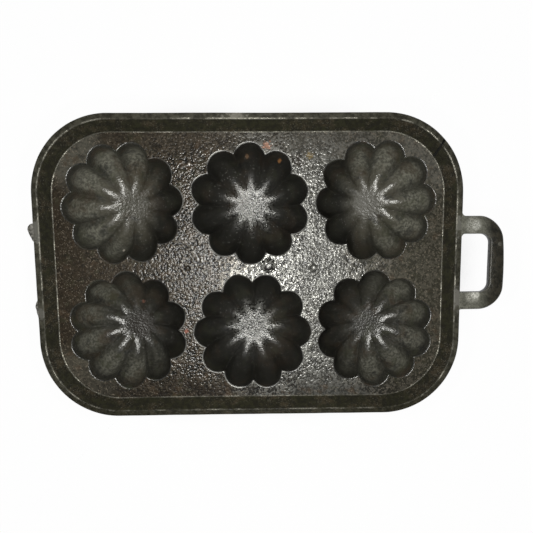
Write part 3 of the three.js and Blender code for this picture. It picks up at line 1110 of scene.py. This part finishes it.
def cup_iron():
    """Black seasoning, grey towards the pan's ends, with painted shade near the mouths and the ridges, and
    bright grain low in the middle cups that is partly wear and partly a painted highlight.
    """
    material, tree, place = new_finish("cup iron")
    across, along, up = tree.axes(place)
    fine = grain(tree, place, *CUP_GRAIN)
    lumps = grain(tree, place, *CUP_LUMPS)
    coarse = grain(tree, place, *CUP_PATCHES)
    surface = 0.5 * fine + 0.5 * lumps
    wander = (coarse - 0.5) * CUP_WANDER
    off_middle = (across - CENTRE.x).math("ABSOLUTE")
    past_row = along.math("ABSOLUTE") - CUP_ROW
    off_ridge = tree.node("ShaderNodeAttribute", {"attribute_name": FLUTE}, output="Fac")
    flute = tree.step(off_ridge, *RIDGE_SHADE)
    outward = tree.step(off_middle + wander + CUP_SKEW * past_row, *CUP_OUTWARD)
    beyond = tree.step(off_middle + 0.5 * wander, *CUP_BEYOND)
    inner = tree.step(off_middle, *CUP_MIDDLE)
    front = tree.step(along, *CUP_FRONT)
    low = tree.step(up + 0.2 * wander, *CUP_LOW)
    star = tree.step(up + 0.11 * wander + (lumps - 0.5) * STAR_RAGGED, *CUP_STAR)
    # Paler low on the walls and across the flutes' middles; darker near the mouth and towards the ridges,
    # which is painted shade
    paler = outward * tree.step(up + 0.3 * wander, *CUP_MOUTH_SHADE)
    paler = paler * (1 - 0.35 * front) * (0.35 + 0.65 * flute)
    dusty = tree.mix(tree.step(lumps, *CUP_DUSTY), FLUTE_GREY_DARK, FLUTE_GREY)
    colour = tree.mix(0.04 + 0.08 * beyond + 0.88 * paler, SEASONED, dusty)
    bottom = tree.mix(0.85 * front, FLOOR_BROWN, SEASONED)
    colour = tree.mix(low * beyond * (0.55 + 0.4 * lumps), colour, bottom)
    colour = stained(tree, place, colour, CUP_PATINA, 0.5 + 0.45 * outward)
    # Pale specks low on the walls: painted glints
    glint_specks = tree.step(surface, *CUP_GLINT_SPECKS) * tree.step(up, *CUP_GLINT_HEIGHTS)
    # A pale metal line along the middle cups' mouths: painted highlight
    brink = tree.step(up, DECK_TOP - MOUTH_EDGE, DECK_TOP - 0.4 * MOUTH_EDGE)
    brink = brink * inner * tree.step(coarse, *BRINK_BREAKS)
    # Bright metal grain in the middle cups' floors, where the lamp's star falls: partly wear, partly a
    # painted highlight
    star_weight = 0.1 - 0.07 * front + (0.29 + 0.13 * front) * inner
    wear_and_highlight = tree.step(surface, *CUP_PALE_GRAIN) * star * star_weight
    wear_and_highlight = wear_and_highlight.math("MAXIMUM", glint_specks * (0.6 - 0.3 * front)).math("MAXIMUM", 0.7 * brink)
    colour = tree.mix(wear_and_highlight, colour, PALE_METAL)
    colour = marked(tree, place, colour, CUP_MARKS, (fine - 0.5) * 2)
    colour = sooty(tree, place, colour)
    height = fine * (0.3 + (0.2 + 0.4 * inner) * low) + (0.3 + 0.5 * outward) * lumps + 0.8 * coarse
    outside = looks_down(tree)
    height = height + outside * (0.6 * lumps + 0.4 * fine)
    polish = (0.08 * outward + 0.14 * inner * star) * (1 - outside)
    rough = 0.34 + 0.1 * coarse - polish + 0.12 * outside
    iron(tree, colour, rough, relief(tree, height, CUP_RELIEF), 0.85, 0.6 * wear_and_highlight * (1 - outside))
    return material


def handle_iron():
    """Satin iron, rubbed pale grey on the arms and dark brown on the grip, with painted highlights on the
    arms.
    """
    material, tree, place = new_finish("handle iron")
    across, _, up = tree.axes(place)
    fine = grain(tree, place, *RIM_GRAIN)
    mottle = tree.step(grain(tree, place, *RIM_MOTTLE), *LOOP_MOTTLED)
    coarse = grain(tree, place, *LOOP_PATCHES)
    grip = tree.step(across + (coarse - 0.5) * LOOP_WANDER, *LOOP_GRIP_SPAN)
    paler = tree.step(0.3 * coarse + 0.6 * fine + 0.1 * mottle, *ARM_RUBBED)
    arms = tree.mix(paler, ARM_GREY, ARM_PALE)
    colour = tree.mix(grip, arms, tree.mix(mottle, GRIP_DARK, GRIP_BROWN))
    grainy = 0.25 + 0.7 * tree.step(fine, *ARM_GRAINY)
    # Pale spots on the arms: painted highlights
    colour = marked(tree, place, colour, HANDLE_HIGHLIGHTS_AND_MARKS, fine + coarse - 1, grainy)
    top = tree.step(up, RIM_TOP - LOOP_EDGE, RIM_TOP - 0.5 * LOOP_EDGE)
    colour = tree.mix(top, LOOP_SIDE, colour)
    iron(tree, colour, 0.34 + 0.12 * coarse, relief(tree, fine + mottle, RIM_RELIEF))
    return material


def broken_iron():
    """The dull granular face of broken iron."""
    material, tree, place = new_finish("broken iron")
    fine = grain(tree, place, *BREAK_GRAIN)
    colour = tree.mix(tree.step(fine, *BREAK_BRIGHT), BREAK_DARK, BREAK_PALE)
    colour = sooty(tree, place, colour)
    iron(tree, colour, 0.5, relief(tree, fine, BREAK_RELIEF))
    return material


# Pieces

def settle(mesh):
    """Gives a mesh the casting's unevenness. A place always moves alike, so joints stay shut."""
    for vertex in mesh.vertices:
        hold = smooth(vertex.co.z / STANDING_HEIGHT)
        sway = noise.noise_vector(vertex.co / SWAY_LENGTH) * SWAY
        ripple = noise.noise_vector(vertex.co / RIPPLE_LENGTH) * RIPPLE
        vertex.co += hold * (sway + ripple)


def cast(node, mesh, material):
    """Finishes a mesh as the piece that stands for a node of the frame."""
    form = bmesh.new()
    form.from_mesh(mesh)
    bmesh.ops.remove_doubles(form, verts=form.verts, dist=PIECE_SEAM)
    bmesh.ops.recalc_face_normals(form, faces=form.faces)
    form.to_mesh(mesh)
    form.free()
    rest = mesh.attributes.new(MOULD, "FLOAT_VECTOR", "POINT")
    for vertex, spot in zip(mesh.vertices, rest.data):
        spot.vector = vertex.co
    facing = mesh.attributes.new(BELOW, "FLOAT", "POINT")
    for vertex, spot in zip(mesh.vertices, facing.data):
        spot.value = smooth(0.5 - vertex.normal.z / LEVEL_SPAN)
    settle(mesh)
    mesh.materials.clear()
    mesh.materials.append(material)
    mesh.shade_smooth()
    mesh.set_sharp_from_angle(angle=SHARP_ANGLE)
    thing = bpy.data.objects.new("cast_" + node, mesh)
    bpy.context.scene.collection.objects.link(thing)
    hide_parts(node)
    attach(thing, "root")


noise.seed_set(CASTING_SEED)
cup_shape = cup_tree()
cup_finish = cup_iron()
mouths = []
for node, turn in CUP_TURNS.items():
    low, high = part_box(node)
    axis = ((low + high) / 2).xy + Vector(CUP_SHIFTS[node]) * MM
    values = {**CUP_SIZES, "Axis X": axis.x, "Axis Y": axis.y, "Turn": turn, "Material": cup_finish}
    cup = grow(cup_shape, bpy.data.meshes.new(node), values)
    mouths.append(mouth_ring(cup, axis))
    cast(node, cup, cup_finish)

cast("deck", deck_mesh(mouths), deck_iron())

rim_finish = rim_iron()
rim_values = {
    "Length": 2 * HALF_LENGTH,
    "Width": 2 * HALF_WIDTH,
    "Corner": CORNER_RADIUS,
    "Centre X": CENTRE.x,
    "Centre Y": CENTRE.y,
    "Step": RIM_FACET,
    "Material": rim_finish,
}
cast("rim", grow(rim_tree(), rim_section(), rim_values), rim_finish)

cast("handle", handle_mesh(), handle_iron())

broken_finish = broken_iron()
for node in ("broken_stub_rear", "broken_stub_front"):
    cast(node, stub_mesh(node), broken_finish)


# Floor, light and camera

def floor():
    """A pale floor that shows as white and keeps a soft shadow."""
    material = bpy.data.materials.new("pale floor")
    tree = blank_tree(material)
    rays = [tree.node("ShaderNodeLightPath", output=ray) for ray in FLOOR_RAYS]
    seen = rays[0].math("MAXIMUM", rays[1]).math("MAXIMUM", rays[2])
    matt = tree.node("ShaderNodeBsdfDiffuse", inputs={"Color": FLOOR_MATT})
    open_air = tree.node("ShaderNodeAmbientOcclusion", output="AO", inputs={"Distance": SHADOW_REACH})
    shaded = tree.mix(tree.step(open_air, 0.0, SHADOW_ENDS), SHADOW_GREY, WHITE)
    white = tree.node("ShaderNodeEmission", inputs={"Color": shaded, "Strength": 1.0})
    mixed = tree.node("ShaderNodeMixShader", inputs={0: seen * FLOOR_WHITE, 1: matt, 2: white})
    tree.node("ShaderNodeOutputMaterial", inputs={"Surface": mixed})
    mesh = bpy.data.meshes.new("floor")
    corners = [(-1, -1), (1, -1), (1, 1), (-1, 1)]
    mesh.from_pydata([(x * FLOOR_HALF, y * FLOOR_HALF, 0) for x, y in corners], [], [(0, 1, 2, 3)])
    mesh.materials.append(material)
    thing = bpy.data.objects.new("floor", mesh)
    bpy.context.scene.collection.objects.link(thing)


def sky():
    """A studio's light: pale near the horizon and dim above it."""
    world = bpy.data.worlds.new("studio")
    tree = blank_tree(world)
    _, _, upward = tree.axes(tree.node("ShaderNodeTexCoord", output="Generated"))
    strength = WORLD_LIGHT + tree.step(upward, SKY_DIM, SKY_PALE) * (1 - WORLD_LIGHT)
    glow = tree.node("ShaderNodeBackground", inputs={"Color": WHITE, "Strength": strength})
    tree.node("ShaderNodeOutputWorld", inputs={"Surface": glow})
    bpy.context.scene.world = world


def soft_lamp():
    """A small soft lamp over the middle of the pan."""
    lamp = bpy.data.lights.new("soft lamp", "AREA")
    lamp.shape = "DISK"
    lamp.size = LAMP_SIZE
    lamp.energy = LAMP_POWER
    lamp.color = LAMP_COLOUR
    holder = bpy.data.objects.new("soft lamp", lamp)
    holder.location = LAMP_PLACE
    holder.visible_camera = False
    bpy.context.scene.collection.objects.link(holder)


def photo_camera():
    camera = bpy.data.cameras.new("camera")
    camera.sensor_width = SENSOR_WIDTH
    camera.lens = SENSOR_WIDTH * FOCAL_PIXELS / PHOTO_PIXELS
    camera.shift_x = -AXIS_PIXELS.x / PHOTO_PIXELS
    camera.shift_y = AXIS_PIXELS.y / PHOTO_PIXELS
    camera.clip_start = CAMERA_NEAR
    holder = bpy.data.objects.new("camera", camera)
    turn = Matrix.Rotation(-CAMERA_TURN.length, 4, CAMERA_TURN.normalized())
    holder.matrix_world = Matrix.Translation(CAMERA_PLACE) @ turn
    bpy.context.scene.collection.objects.link(holder)
    bpy.context.scene.camera = holder


floor()
sky()
soft_lamp()
photo_camera()
bpy.context.scene.view_settings.view_transform = "Standard"
